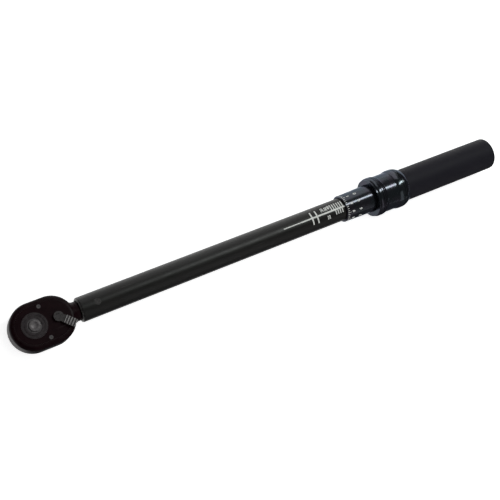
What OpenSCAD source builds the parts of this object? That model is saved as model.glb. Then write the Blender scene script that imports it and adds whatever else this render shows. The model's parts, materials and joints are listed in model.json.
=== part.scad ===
// Click torque wrench with a reversible ratchet head and a screw-adjusted grip.
// Millimetres, +Z up through the release button, +X along the tube to the grip.
// The origin is the centre of the square drive's end face.

/* [Square drive] */
// Width of the square across its flats
drive_af = 12.7; // [10:0.1:16]
// Length of the square below its round shoulder
square_len = 11.5; // [9:0.5:16]
// Height of the round shoulder below the head
shoulder_h = 1; // [0.5:0.1:2]
// Radius of the ball that holds a socket on the square
ball_r = 2.1; // [1.6:0.05:2.4]
// How far the ball stands out of the square's side
ball_proud = 0.7; // [0.4:0.05:0.9]

/* [Ratchet] */
// Radius of the drive gear over its teeth
gear_tip_r = 13; // [10.8:0.1:16]
// Depth of the gear's teeth
tooth_h = 1; // [0.6:0.1:1.4]
// Number of teeth on the gear, a multiple of four
tooth_count = 36; // [24:4:60]
// Thickness of the pawl, from its teeth to its back
pawl_t = 3.75; // [3:0.05:5]
// Angle that the pawl covers round the gear
pawl_span = 56; // [40:1:64]
// Swing of the pawl round the gear, from one side to the other
pawl_swing = 12; // [8:1:16]

/* [Head] */
// Height of the head from its lower face to its upper face
head_h = 19.8; // [18:0.1:26]
// Wall of the head outside the gear
head_wall = 7.3; // [7:0.1:10]
// Radius of the head's rounded upper and lower edges
head_edge = 4; // [2:0.1:5]
// Distance from the lever's pivot back to the rear arc's centre
head_tail = 5.4; // [2:0.1:8]
// Thickness of the floor below the gear
floor_t = 3; // [2:0.1:5]
// Thickness of the cover plate
cover_t = 2.2; // [1.6:0.1:3]
// Radius of the cover screws' heads
screw_head_r = 1.8; // [1.4:0.1:2.2]
// Radius of the cover screws' shanks
screw_shank_r = 1.2; // [0.8:0.1:1.6]
// Length of the cover screws
screw_len = 8; // [5:0.5:10]

/* [Release button] */
// Radius of the button that frees the socket
button_r = 5.1; // [4:0.1:5.4]
// How far the button stands above the gear's hub
button_proud = 0.9; // [0.5:0.1:2]
// Travel of the button
button_travel = 2.5; // [2.3:0.1:3]
// Radius of the rod under the button
rod_r = 2.5; // [2.2:0.1:2.7]

/* [Reversing lever] */
// Radius of the lever's round hub
lever_hub_r = 4.3; // [4:0.1:5.5]
// Radius of the lever's shaft
lever_shaft_r = 3.5; // [3:0.1:3.8]
// Length of the lever from its pivot to its end
lever_len = 15.5; // [12:0.1:17]
// Thickness of the lever
lever_t = 2.2; // [1.5:0.1:3]
// Width of the thumb tab
tab_w = 7; // [5:0.1:9]
// Angle that the lever stands to one side at rest
lever_side = 45; // [30:1:50]

/* [Tube] */
// Outer diameter of the tube
tube_od = 22.2; // [18:0.1:28]
// Wall thickness of the tube
tube_t = 2; // [1.5:0.1:2.5]
// Gap between the head's rear arc and the tube
neck_gap = 4.5; // [2:0.1:12]
// Length of tube in front of the thimble
bare_len = 273.4; // [220:0.1:360]
// Distance from the tube's front edge back to the pivot pin
pin_inset = 15.9; // [12:0.1:20]
// Radius of the pivot pin
pin_r = 3; // [2:0.1:4]

/* [Click mechanism] */
// Swing of the head when the wrench clicks
click_deg = 3; // [2:0.1:3.5]
// Length of the tang behind the pivot pin
tang_len = 41.7; // [30:0.1:50]
// Radius of the tilting block's two round ends
block_r = 3.2; // [2.6:0.1:3.6]
// Distance between the centres of the block's round ends
block_len = 7; // [6:0.1:10]
// Height of the block
block_h = 9; // [6:0.1:10]
// Length of the plunger, without its spring guide
plunger_len = 40; // [20:0.5:60]
// Diameter of the main spring's wire
spring_wire = 3.2; // [2:0.1:3.6]
// Number of turns of the main spring
spring_turns = 24; // [16:1:30]

/* [Adjuster] */
// Pitch of the adjusting thread
screw_pitch = 2.5; // [1.5:0.1:3]
// Number of full turns from the lowest setting to the highest
adjust_turns = 13; // [8:1:15]
// Outer radius of the adjusting thread
screw_r = 4.9; // [4:0.1:5.4]
// Length of the nut in the tube's rear end
nut_len = 28; // [16:0.5:36]
// Radius of the thrust bearing's balls
thrust_ball_r = 1.2; // [0.8:0.1:1.6]
// Number of balls in the thrust bearing
thrust_ball_count = 8; // [6:1:10]

/* [Grip] */
// Length of the thimble in front of the lock ring
thimble_len = 34.3; // [24:0.1:50]
// Wall of the thimble at its front edge
thimble_front_t = 1.8; // [1.4:0.05:2.5]
// Wall of the thimble at the lock ring
thimble_rear_t = 2.45; // [2:0.05:3]
// Wall of the core tube inside the grip
core_t = 1.75; // [1.4:0.05:2.5]
// Thickness of the rubber sleeve
sleeve_t = 2.95; // [2:0.05:3.5]
// Length of sleeve behind the lock ring
sleeve_len = 112.3; // [90:0.1:140]
// Radius of the sleeve's rounded rear edge
sleeve_edge = 2.2; // [1:0.1:2.4]
// Length of the solid block in the rear of the grip
end_block_len = 34.6; // [28:0.1:45]
// Radius of the end plug
plug_r = 10.4; // [9.5:0.1:10.6]
// Height of the end plug's dome behind the sleeve
plug_dome = 2; // [1:0.1:4]

/* [Lock ring] */
// Length of the lock ring
ring_len = 38.3; // [36:0.1:55]
// Wall of the ring's barrel, outside its bore
ring_wall = 3.15; // [2.4:0.05:4]
// Height of the front flange above the barrel
flange_h = 1; // [0.5:0.1:2]
// Height of the rear bead above the barrel
bead_h = 1.1; // [0.5:0.05:2]
// Travel of the ring when it is pulled back
ring_travel = 4; // [3:0.1:4.4]
// Radius of the balls that lock the grip
lock_ball_r = 2; // [1.6:0.1:2.2]
// Number of locking balls
lock_ball_count = 3; // [2:1:4]

/* [Fits] */
// Radial clearance of a shaft that turns or slides in its bore
run_fit = 0.08; // [0.04:0.01:0.1]
// Radial clearance between the tube and what turns on it
tube_fit = 0.1; // [0.06:0.01:0.2]
// Gap between moving pieces that never touch
gap = 0.3; // [0.25:0.01:0.4]

/* [Hidden] */

$fn = 96;
eps = 0.01;

// Heights
head_z = square_len + shoulder_h;
head_top = head_z + head_h;
axis_z = head_z + head_h / 2;
cover_z = head_top - cover_t;
gear_z = head_z + floor_t + gap;
washer_t = 0.3;
gear_top = cover_z - washer_t - gap / 3;
hub_top = head_top + gap;

// Ratchet
gear_root_r = gear_tip_r - tooth_h;
hub_r = gear_root_r - 0.9;
cavity_r = gear_tip_r + 0.5;
pawl_in_r = gear_tip_r + 0.25;
pawl_out_r = pawl_in_r + pawl_t;
pawl_h = 10;
lever_x = pawl_out_r + 0.5 + lever_shaft_r;

// Lever's detent
lever_z = head_top + gap;
detent_r = 1.25;
detent_x = -(lever_shaft_r - 0.9);
detent_z = (gear_z + gear_top) / 2;

// Head outline
head_r = gear_tip_r + 0.5 + head_wall;
tail_x = lever_x - head_tail;
head_rear_x = tail_x + head_r;
cover_r = head_r - head_edge - 0.5;
cover_screw_r = cavity_r + screw_shank_r + 1.9;
cover_screw_angle = 57;
screw_head_t = 1.1;
screw_seat_z = head_top - screw_head_t - 0.1;

// Release button, its spring and its rod
button_flange_r = button_r + 1.1;
button_bore_r = button_flange_r + run_fit;
button_flange_t = 1.5;
button_top = hub_top + button_proud;
snap_t = 0.8;
snap_r = button_bore_r + 0.6;
snap_z = hub_top - 0.5 - snap_t;
button_z = snap_z - button_flange_t;
release_spring_len = 9;
release_spring_z = button_z - release_spring_len;
release_wire = 0.9;
rod_bore_r = rod_r + run_fit;
ball_z = square_len / 2;
ball_x = drive_af / 2 + ball_proud - ball_r;
rod_z = button_travel + 2;
rod_bore_z = rod_z - button_travel - 0.8;
rod_neck_r = rod_r - 0.9;
rod_neck_z = ball_z + 1;
rod_neck_len = button_travel + ball_r;
rod_tip_r = rod_r - 0.7;
rod_tip_len = 2.5;

// Tube and pivot
tube_r = tube_od / 2;
bore_r = tube_r - tube_t;
tube_front_x = head_rear_x + neck_gap;
pin_x = tube_front_x + pin_inset;
neck_r = bore_r - 0.5 - pin_inset * sin(click_deg);
neck_flare = 2;
flare_inset = 0.3;
collar_r = bore_r - 0.45;
collar_gap = 0.9;
tang_taper_x = pin_x + pin_r + 4;

// Click mechanism
seat_depth = 1.5;
tang_end_r = bore_r - 0.6 - tang_len * sin(click_deg);
tang_end_x = pin_x + tang_len;
block_front_x = tang_end_x + seat_depth;
block_rear_x = block_front_x + block_len;
plunger_x = block_rear_x + seat_depth;
plunger_r = bore_r - run_fit;
guide_len = 10;
spring_front_x = plunger_x + plunger_len;
spring_coil_r = bore_r - 0.5 - spring_wire / 2;
guide_r = spring_coil_r - spring_wire / 2 - 0.2;

// Grip stations
thimble_x = tube_front_x + bare_len;
ring_x = thimble_x + thimble_len;
ring_end_x = ring_x + ring_len;
grip_end_x = ring_end_x + sleeve_len;
adjust_travel = adjust_turns * screw_pitch;
cavity_end_x = grip_end_x - end_block_len;
tube_rear_x = cavity_end_x - adjust_travel - 4.5;
nut_x = tube_rear_x - 4 - nut_len;
screw_x = nut_x - 2 * screw_pitch - 4.6;
screw_root_r = screw_r - 0.9;
nut_pin_r = 1.25;
screw_shank_x = cavity_end_x - 5;
washer_x = screw_x - 1.8;
thrust_x = washer_x - 0.2 - thrust_ball_r;
thrust_pitch_r = bore_r / 2;
seat_end_x = thrust_x - 0.2;
seat_len = 10;
spring_rear_x = seat_end_x - seat_len;

// Grip radii
core_in_r = tube_r + tube_fit;
core_r = core_in_r + core_t;
spigot_r = core_in_r + core_t / 2;
sleeve_r = core_r + sleeve_t;
thimble_r = core_in_r + thimble_front_t;
thimble_rear_r = core_in_r + thimble_rear_t;
thimble_screw_r = 1.2;
thimble_screw_count = 3;
spigot_len = 10;
core_x = ring_x + 4.3;
core_end_x = grip_end_x - 3;
pocket_x = core_end_x - 12.6;
lock_nut_t = 6.5;
lock_nut_r = 9.6;

// Lock ring
ring_lip_r = thimble_rear_r + gap;
ball_ring_r = tube_r + 0.1 + lock_ball_r;
cam_r = ball_ring_r + lock_ball_r + 0.1;
recess_r = cam_r + 1.3;
ring_skirt_r = sleeve_r + gap + 0.1;
barrel_r = cam_r + ring_wall;
lock_ball_x = ring_x + 17.5;
recess_x = lock_ball_x - lock_ball_r - ring_travel - 0.5;
recess_len = ring_travel + 0.7;
clip_t = 1.2;
clip_x = lock_ball_x + ring_travel;
lock_spring_x = clip_x + clip_t;
lock_wire = 1.2;
skirt_x = ring_end_x - ring_travel - 4.5;
sleeve_x = skirt_x + ring_travel + 0.5;
stop_t = 1.2;
stop_x = sleeve_x - stop_t;

// ---- Helpers ------------------------------------------------------------

// Puts children, drawn along +Z, on the tube's axis at station x.
module on_axis(x) {
    translate([x, 0, axis_z]) rotate([0, 90, 0]) children();
}

// A ring or a disc on the tube's axis.
module sleeve(x, len, outer, inner = 0) {
    on_axis(x) difference() {
        cylinder(r = outer, h = len);
        if (inner > 0) translate([0, 0, -1]) cylinder(r = inner, h = len + 2);
    }
}

// Half of a slab's outline, from the axis to a rounded outer edge.
module round_edge(r, h, edge) {
    square([r - edge, h]);
    translate([0, edge]) square([r, h - 2 * edge]);
    for (z = [edge, h - edge]) translate([r - edge, z]) circle(r = edge);
}

// A slab between two equal arcs, rounded at its upper and lower edges.
module rounded_stadium(r, reach, h, edge) {
    rotate([0, 0, 90]) rotate_extrude(angle = 180) round_edge(r, h, edge);
    translate([reach, 0, 0]) rotate([0, 0, -90])
        rotate_extrude(angle = 180) round_edge(r, h, edge);
    rotate([90, 0, 90]) linear_extrude(reach) {
        round_edge(r, h, edge);
        mirror([1, 0]) round_edge(r, h, edge);
    }
}

// A slab between two equal arcs, with square edges.
module stadium(r, reach, h) {
    linear_extrude(h) {
        circle(r = r);
        translate([reach, 0]) circle(r = r);
        translate([0, -r]) square([reach, 2 * r]);
    }
}

// A wire coil round +Z, from z = 0 to z = len over its outside.
module coil(mean_r, wire, turns, len, steps = 12, sides = 6) {
    rise = len - wire;
    count = turns * steps;
    points = [
        for (i = [0 : count], k = [0 : sides - 1])
            let (turn = 360 * i / steps, side = 360 * k / sides)
            [
                (mean_r + wire / 2 * cos(side)) * cos(turn),
                (mean_r + wire / 2 * cos(side)) * sin(turn),
                wire / 2 + rise * i / count + wire / 2 * sin(side)
            ]
    ];
    walls = [
        for (i = [0 : count - 1], k = [0 : sides - 1])
            let (n = (k + 1) % sides)
            [
                i * sides + k, (i + 1) * sides + k,
                (i + 1) * sides + n, i * sides + n
            ]
    ];
    first = [for (k = [0 : sides - 1]) k];
    last = [for (k = [sides - 1 : -1 : 0]) count * sides + k];
    polyhedron(points, concat(walls, [first, last]), convexity = 10);
}

// The cover screws' places.
module at_cover_screws() {
    for (side = [-1, 1])
        rotate([0, 0, side * cover_screw_angle])
            translate([cover_screw_r, 0, 0]) children();
}

// ---- Tube ---------------------------------------------------------------

module body_tube() {
    edge = tube_t * 0.9;
    len = tube_rear_x - tube_front_x;
    color("#1b1c1e") difference() {
        on_axis(tube_front_x) rotate_extrude() intersection() {
            translate([bore_r, 0]) square([tube_t, len]);
            union() {
                translate([0, edge]) square([tube_r, len - edge]);
                square([tube_r - edge, len]);
                translate([tube_r - edge, edge]) circle(r = edge);
            }
        }
        translate([pin_x, 0, 0]) cylinder(r = pin_r, h = 2 * axis_z);
        at_nut_pins() cylinder(r = nut_pin_r, h = 3 * tube_r, center = true);
    }
}

// The nut pins' places, with +Z along each pin.
module at_nut_pins() {
    for (x = [nut_x + nut_len * 0.3, nut_x + nut_len * 0.7])
        translate([x, 0, axis_z]) rotate([90, 0, 0]) children();
}

module pivot_pin() {
    pin_half = tube_r - 0.2;
    color("#2a2a2c") translate([pin_x, 0, axis_z - pin_half])
        cylinder(r = pin_r, h = 2 * pin_half);
}

module adjusting_nut() {
    color("#77787a") difference() {
        sleeve(nut_x, nut_len, bore_r, screw_r + run_fit);
        at_nut_pins() cylinder(r = nut_pin_r, h = 3 * tube_r, center = true);
    }
}

module nut_pins() {
    reach = tube_r - 0.2;
    pin_len = reach - screw_r - 0.6;
    color("#9a9b9d") at_nut_pins()
        for (side = [0, 180]) rotate([side, 0, 0])
            translate([0, 0, reach - pin_len]) cylinder(r = nut_pin_r, h = pin_len);
}

module main_spring() {
    color("#5d6063") on_axis(spring_front_x)
        coil(spring_coil_r, spring_wire, spring_turns, spring_rear_x - spring_front_x);
}

// ---- Head ---------------------------------------------------------------

// The tang, round and tapering, with the thicker neck in front of it.
module neck_and_tang() {
    on_axis(tail_x) cylinder(r = neck_r, h = tang_taper_x - tail_x);
    on_axis(tail_x) cylinder(r = collar_r, h = tube_front_x - collar_gap - tail_x);
    // The flare stays below the head's top face, so that the lever can pass over it.
    intersection() {
        on_axis(head_rear_x - 2 * neck_flare)
            cylinder(r1 = collar_r + neck_flare, r2 = collar_r, h = 2.5 * neck_flare);
        translate([head_rear_x - 3 * neck_flare, -head_r, head_z + flare_inset])
            cube([4 * neck_flare, 2 * head_r, head_h - 2 * flare_inset]);
    }
    on_axis(tang_taper_x) cylinder(r1 = neck_r, r2 = tang_end_r, h = tang_end_x - tang_taper_x);
}

// The hollow that the gear, the pawl and the lever's shaft turn in.
module ratchet_cavity() {
    depth = cover_z - head_z - floor_t;
    half = pawl_span / 2 + pawl_swing / 2 + 1;
    reach = 2 * pawl_out_r;
    translate([0, 0, head_z + floor_t]) linear_extrude(depth + eps) {
        circle(r = cavity_r);
        translate([lever_x, 0]) circle(r = lever_shaft_r + 0.7);
        intersection() {
            circle(r = pawl_out_r + gap);
            polygon([[0, 0], [reach, -reach * tan(half)], [reach, reach * tan(half)]]);
        }
    }
}

module head_housing() {
    color("#161515") difference() {
        union() {
            translate([0, 0, head_z]) rounded_stadium(head_r, tail_x, head_h, head_edge);
            neck_and_tang();
        }
        ratchet_cavity();
        translate([0, 0, cover_z]) stadium(cover_r, tail_x, cover_t + 1);
        translate([0, 0, head_z - 1]) cylinder(r = hub_r + run_fit, h = floor_t + 2);
        at_cover_screws() translate([0, 0, cover_z - screw_len])
            cylinder(r = screw_shank_r, h = screw_len + 1);
        translate([pin_x, 0, 0]) cylinder(r = pin_r + run_fit, h = 2 * axis_z);
        translate([block_front_x, 0, 0]) cylinder(r = block_r + gap, h = 2 * axis_z);
    }
}

module cover_plate() {
    color("#1a1919") difference() {
        translate([0, 0, cover_z]) stadium(cover_r - 0.05, tail_x, cover_t);
        translate([0, 0, cover_z - 1]) cylinder(r = hub_r + run_fit, h = cover_t + 2);
        translate([lever_x, 0, cover_z - 1])
            cylinder(r = lever_shaft_r + run_fit, h = cover_t + 2);
        at_cover_screws() {
            translate([0, 0, cover_z - 1]) cylinder(r = screw_shank_r, h = cover_t + 2);
            translate([0, 0, screw_seat_z]) cylinder(r = screw_head_r, h = 2);
        }
    }
}

module cover_screws() {
    socket_r = screw_head_r * 0.5;
    color("#3c3b3b") at_cover_screws() difference() {
        union() {
            translate([0, 0, screw_seat_z]) cylinder(r = screw_head_r, h = screw_head_t);
            translate([0, 0, screw_seat_z - screw_len + cover_t])
                cylinder(r = screw_shank_r, h = screw_len - cover_t + eps);
        }
        translate([0, 0, screw_seat_z + 0.4]) cylinder(r = socket_r, h = 2, $fn = 6);
    }
}

module gear_washer() {
    color("#8a8b8c") translate([0, 0, cover_z - washer_t]) difference() {
        cylinder(r = gear_tip_r - 0.2, h = washer_t);
        translate([0, 0, -1]) cylinder(r = hub_r + run_fit, h = washer_t + 2);
    }
}

// ---- Drive --------------------------------------------------------------

// The gear's toothed outline.
module gear_outline() {
    step = 360 / tooth_count;
    polygon([
        for (i = [0 : tooth_count - 1], half = [0, 1])
            let (r = half == 0 ? gear_root_r : gear_tip_r, a = (i + half / 2) * step)
            [r * cos(a), r * sin(a)]
    ]);
}

module drive_gear() {
    corner_r = drive_af * 0.67;
    tip_r = drive_af * 0.6;
    tip_h = corner_r - tip_r;
    groove_r = (button_bore_r + hub_r) / 2;
    groove_half = 0.45;
    color("#2e2d2e") difference() {
        union() {
            translate([0, 0, gear_z]) linear_extrude(gear_top - gear_z) gear_outline();
            translate([0, 0, square_len]) cylinder(r = hub_r, h = hub_top - square_len);
            intersection() {
                translate([-drive_af / 2, -drive_af / 2, 0])
                    cube([drive_af, drive_af, square_len + eps]);
                union() {
                    cylinder(r1 = tip_r, r2 = corner_r, h = tip_h);
                    translate([0, 0, tip_h - eps]) cylinder(r = corner_r, h = square_len);
                }
            }
        }
        translate([0, 0, release_spring_z]) cylinder(r = button_bore_r, h = head_h * 2);
        translate([0, 0, rod_bore_z]) cylinder(r = rod_bore_r, h = head_h * 2);
        translate([0, 0, snap_z]) cylinder(r = snap_r, h = snap_t);
        translate([0, 0, ball_z]) rotate([0, 90, 0]) cylinder(r = ball_r + run_fit, h = drive_af);
        translate([0, 0, hub_top - 0.4]) difference() {
            cylinder(r = groove_r + groove_half, h = 1);
            translate([0, 0, -1]) cylinder(r = groove_r - groove_half, h = 3);
        }
    }
}

module button_snap_ring() {
    snap_gap = 1.6;
    color("#4a4a4b") translate([0, 0, snap_z]) difference() {
        cylinder(r = snap_r, h = snap_t);
        translate([0, 0, -1]) cylinder(r = button_r + run_fit, h = snap_t + 2);
        translate([0, -snap_gap / 2, -1]) cube([2 * button_bore_r, snap_gap, snap_t + 2]);
    }
}

module release_spring() {
    color("#8d8f91") translate([0, 0, release_spring_z])
        coil(rod_r + 0.5 + release_wire / 2, release_wire, 6, release_spring_len);
}

module release_button() {
    edge = 0.7;
    dish_r = 12;
    dish_depth = 0.4;
    color("#6a6a6b") rotate_extrude() difference() {
        union() {
            translate([0, button_z]) square([button_flange_r, button_flange_t]);
            translate([0, button_z]) square([button_r, button_top - edge - button_z]);
            translate([0, button_z]) square([button_r - edge, button_top - button_z]);
            translate([button_r - edge, button_top - edge]) circle(r = edge);
        }
        translate([0, button_z - 1]) square([rod_tip_r, 1 + rod_tip_len]);
        translate([0, button_top - dish_depth + dish_r]) circle(r = dish_r);
    }
}

module release_rod() {
    color("#7f8082") rotate_extrude() {
        translate([0, rod_z]) square([rod_r, rod_neck_z - rod_z]);
        translate([0, rod_z]) square([rod_neck_r, button_z - rod_z]);
        translate([0, rod_neck_z + rod_neck_len])
            square([rod_r, button_z - rod_neck_z - rod_neck_len]);
        translate([0, button_z - eps]) square([rod_tip_r, rod_tip_len + eps]);
    }
}

module retaining_ball() {
    color("#b9babc") translate([ball_x, 0, ball_z]) sphere(r = ball_r);
}

// ---- Reversing lever and pawl -------------------------------------------

// Turns children about the lever's pivot to the lever's rest position.
module at_lever() {
    translate([lever_x, 0, 0]) rotate([0, 0, -lever_side]) children();
}

module reversing_lever() {
    tab_len = 9.6;
    tab_h = 1.5;
    groove_r = 0.75;
    groove_pitch = 2.3;
    neck_w = 5;
    color("#232222") at_lever() {
        translate([0, 0, lever_z]) {
            cylinder(r = lever_hub_r, h = lever_t);
            linear_extrude(lever_t) polygon([
                [0, -neck_w / 2], [lever_len - tab_len, -tab_w / 2],
                [lever_len - tab_len, tab_w / 2], [0, neck_w / 2]
            ]);
        }
        translate([lever_len - tab_len, 0, lever_z]) difference() {
            union() {
                translate([0, -tab_w / 2, 0]) cube([tab_len - 1, tab_w, lever_t + tab_h]);
                translate([0, -tab_w / 2 + 1, 0]) cube([tab_len, tab_w - 2, lever_t + tab_h]);
                for (side = [-1, 1]) translate([tab_len - 1, side * (tab_w / 2 - 1), 0])
                    cylinder(r = 1, h = lever_t + tab_h);
            }
            for (i = [0 : 3]) translate([1.4 + groove_pitch * i, 0, lever_t + tab_h + 0.3])
                rotate([90, 0, 0]) cylinder(r = groove_r, h = tab_w + 2, center = true);
        }
    }
}

module lever_shaft() {
    color("#3a393a") difference() {
        at_lever() translate([0, 0, head_z + floor_t + gap])
            cylinder(r = lever_shaft_r, h = lever_z - head_z - floor_t - gap);
        at_lever() translate([0, 0, detent_z]) rotate([0, -90, 0])
            translate([0, 0, -lever_shaft_r + 1]) cylinder(r = detent_r + run_fit, h = 20);
    }
}

module detent_ball() {
    color("#b9babc") at_lever() translate([detent_x, 0, detent_z]) sphere(r = detent_r);
}

module detent_spring() {
    wire = 0.4;
    len = lever_shaft_r - 1 - detent_x - detent_r;
    color("#8d8f91") at_lever()
        translate([lever_shaft_r - 1, 0, detent_z]) rotate([0, -90, 0])
            coil(detent_r - 0.1 - wire / 2, wire, 4, len, 8, 6);
}

module pawl() {
    notch = tooth_h + 0.15;
    half = pawl_span / 2;
    reach = 2 * pawl_out_r;
    step = 360 / tooth_count;
    teeth = floor(half / step) - 0.5;
    color("#4b4b4c") rotate([0, 0, -pawl_swing / 2])
        translate([0, 0, (gear_z + gear_top - pawl_h) / 2]) linear_extrude(pawl_h) difference() {
            intersection() {
                difference() {
                    circle(r = pawl_out_r);
                    circle(r = pawl_in_r);
                }
                polygon([[0, 0], [reach, -reach * tan(half)], [reach, reach * tan(half)]]);
            }
            for (i = [-teeth : teeth]) rotate(i * step) polygon([
                [pawl_in_r - 0.2, -step * 0.09], [pawl_in_r + notch, 0],
                [pawl_in_r - 0.2, step * 0.09]
            ]);
            for (side = [-1, 1]) rotate(side * pawl_swing / 2)
                translate([pawl_out_r + 0.8, 0]) circle(r = 1.5);
        }
}

// ---- Click mechanism ----------------------------------------------------

module tilting_block() {
    color("#8b8c8e") translate([0, 0, axis_z - block_h / 2]) {
        for (x = [block_front_x, block_rear_x]) translate([x, 0, 0])
            cylinder(r = block_r, h = block_h);
        translate([block_front_x, -block_r, 0]) cube([block_len, 2 * block_r, block_h]);
    }
}

module plunger() {
    color("#6f7173") difference() {
        union() {
            sleeve(plunger_x, plunger_len, plunger_r);
            sleeve(plunger_x + plunger_len, guide_len, guide_r);
        }
        translate([block_rear_x, 0, 0]) cylinder(r = block_r + run_fit, h = 2 * axis_z);
    }
}

// ---- Adjuster -----------------------------------------------------------

// A ring groove that the thrust balls run in.
module ball_race() {
    on_axis(thrust_x) rotate_extrude() translate([thrust_pitch_r, 0])
        circle(r = thrust_ball_r + 0.05);
}

module spring_seat() {
    color("#6f7173") difference() {
        union() {
            sleeve(spring_rear_x, seat_len, bore_r - run_fit);
            sleeve(spring_rear_x - guide_len, guide_len, guide_r);
        }
        ball_race();
    }
}

module thrust_balls() {
    color("#b9babc") on_axis(thrust_x)
        for (i = [0 : thrust_ball_count - 1]) rotate([0, 0, 360 * i / thrust_ball_count])
            translate([thrust_pitch_r, 0, 0]) sphere(r = thrust_ball_r, $fn = 32);
}

module thrust_washer() {
    color("#8a8b8c") difference() {
        sleeve(washer_x, screw_x - washer_x, bore_r - gap);
        on_axis(thrust_x) rotate_extrude() translate([thrust_pitch_r, 0])
            circle(r = thrust_ball_r + 0.15);
    }
}

// ---- Grip ---------------------------------------------------------------

// The thimble's screws' places, with +Z pointing away from the axis.
module at_thimble_screws() {
    for (i = [0 : thimble_screw_count - 1])
        translate([core_x - 3, 0, axis_z]) rotate([360 * i / thimble_screw_count, 0, 0])
            children();
}

module thimble() {
    edge = 0.8;
    len = core_x - thimble_x;
    color("#141a1d") difference() {
        on_axis(thimble_x) rotate_extrude() difference() {
            polygon([
                [core_in_r, 0], [thimble_r - edge, 0], [thimble_r, edge],
                [thimble_rear_r, thimble_len], [thimble_rear_r, len], [core_in_r, len]
            ]);
            translate([core_in_r - 1, len - spigot_len])
                square([1 + spigot_r - core_in_r, spigot_len + 1]);
        }
        at_thimble_screws() translate([0, 0, spigot_r - 1])
            cylinder(r = thimble_screw_r, h = 5);
    }
}

module thimble_screws() {
    socket_r = thimble_screw_r / 2;
    color("#58595b") at_thimble_screws() difference() {
        translate([0, 0, spigot_r])
            cylinder(r = thimble_screw_r, h = thimble_rear_r - spigot_r - 0.2);
        translate([0, 0, thimble_rear_r - 0.8]) cylinder(r = socket_r, h = 2, $fn = 6);
    }
}

// The lock balls' places, with +Z pointing away from the axis.
module at_lock_balls() {
    for (i = [0 : lock_ball_count - 1])
        translate([lock_ball_x, 0, axis_z]) rotate([360 * i / lock_ball_count, 0, 0])
            translate([0, 0, ball_ring_r]) children();
}

module grip_core() {
    color("#303133") difference() {
        union() {
            sleeve(core_x, core_end_x - core_x, core_r);
            sleeve(core_x - spigot_len, spigot_len + 1, spigot_r);
        }
        on_axis(core_x - spigot_len - 1) cylinder(r = core_in_r,
            h = cavity_end_x - core_x + spigot_len + 1);
        on_axis(cavity_end_x - 1) cylinder(r = screw_root_r, h = end_block_len);
        on_axis(pocket_x) cylinder(r = plug_r, h = core_end_x);
        at_lock_balls() cylinder(r = lock_ball_r + run_fit, h = 8, center = true);
    }
}

module lock_balls() {
    color("#b9babc") at_lock_balls() sphere(r = lock_ball_r, $fn = 48);
}

module grip_sleeve() {
    lip_len = grip_end_x - core_end_x;
    len = grip_end_x - sleeve_x;
    color("#2b2b30") on_axis(sleeve_x) rotate_extrude() difference() {
        union() {
            translate([0, 0]) square([sleeve_r, len - sleeve_edge]);
            square([sleeve_r - sleeve_edge, len]);
            translate([sleeve_r - sleeve_edge, len - sleeve_edge]) circle(r = sleeve_edge);
        }
        translate([-1, -1]) square([core_r + 1, len - lip_len + 1]);
        translate([-1, -1]) square([plug_r + 1, len + 2]);
    }
}

module load_screw() {
    thread_len = screw_shank_x - screw_x;
    ridges = floor(thread_len / screw_pitch) - 1;
    color("#85878a") on_axis(screw_x) rotate_extrude() {
        square([screw_root_r, pocket_x + lock_nut_t + 1.5 - screw_x]);
        for (i = [0 : ridges - 1]) translate([0, (i + 0.5) * screw_pitch]) polygon([
            [0, 0], [screw_root_r, 0], [screw_r, screw_pitch * 0.4],
            [screw_r, screw_pitch * 0.5], [screw_root_r, screw_pitch * 0.9], [0, screw_pitch * 0.9]
        ]);
    }
}

module screw_lock_nut() {
    color("#77787a") on_axis(pocket_x) difference() {
        cylinder(r = lock_nut_r, h = lock_nut_t, $fn = 6);
        translate([0, 0, -1]) cylinder(r = screw_root_r, h = lock_nut_t + 2);
    }
}

module end_plug() {
    plug_x = grip_end_x - 4.2;
    dome_r = (pow(plug_r, 2) + pow(plug_dome, 2)) / (2 * plug_dome);
    color("#b4b2bb") intersection() {
        sleeve(plug_x, grip_end_x + plug_dome - plug_x, plug_r);
        translate([grip_end_x + plug_dome - dome_r, 0, axis_z]) sphere(r = dome_r, $fn = 180);
    }
}

module spring_stop() {
    color("#58595b") sleeve(stop_x, stop_t, cam_r - gap, core_r);
}

module lock_spring() {
    color("#8d8f91") on_axis(lock_spring_x)
        coil((core_r + cam_r) / 2, lock_wire, 4, stop_x - lock_spring_x, 20, 6);
}

// ---- Lock ring ----------------------------------------------------------

// Radius of a raised band's round side, at a distance from its crest.
function side_height(crest_r, side_r, dist) =
    crest_r - side_r + sqrt(pow(side_r, 2) - pow(dist, 2));

// A raised band on a turned outline: a flat crest with wide round sides.
module raised_band(crest_r, y, len, side_r) {
    translate([0, y]) square([crest_r, len]);
    for (end = [y, y + len]) intersection() {
        translate([crest_r - side_r, end]) circle(r = side_r);
        translate([0, end - side_r]) square([crest_r, 2 * side_r]);
    }
}

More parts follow.
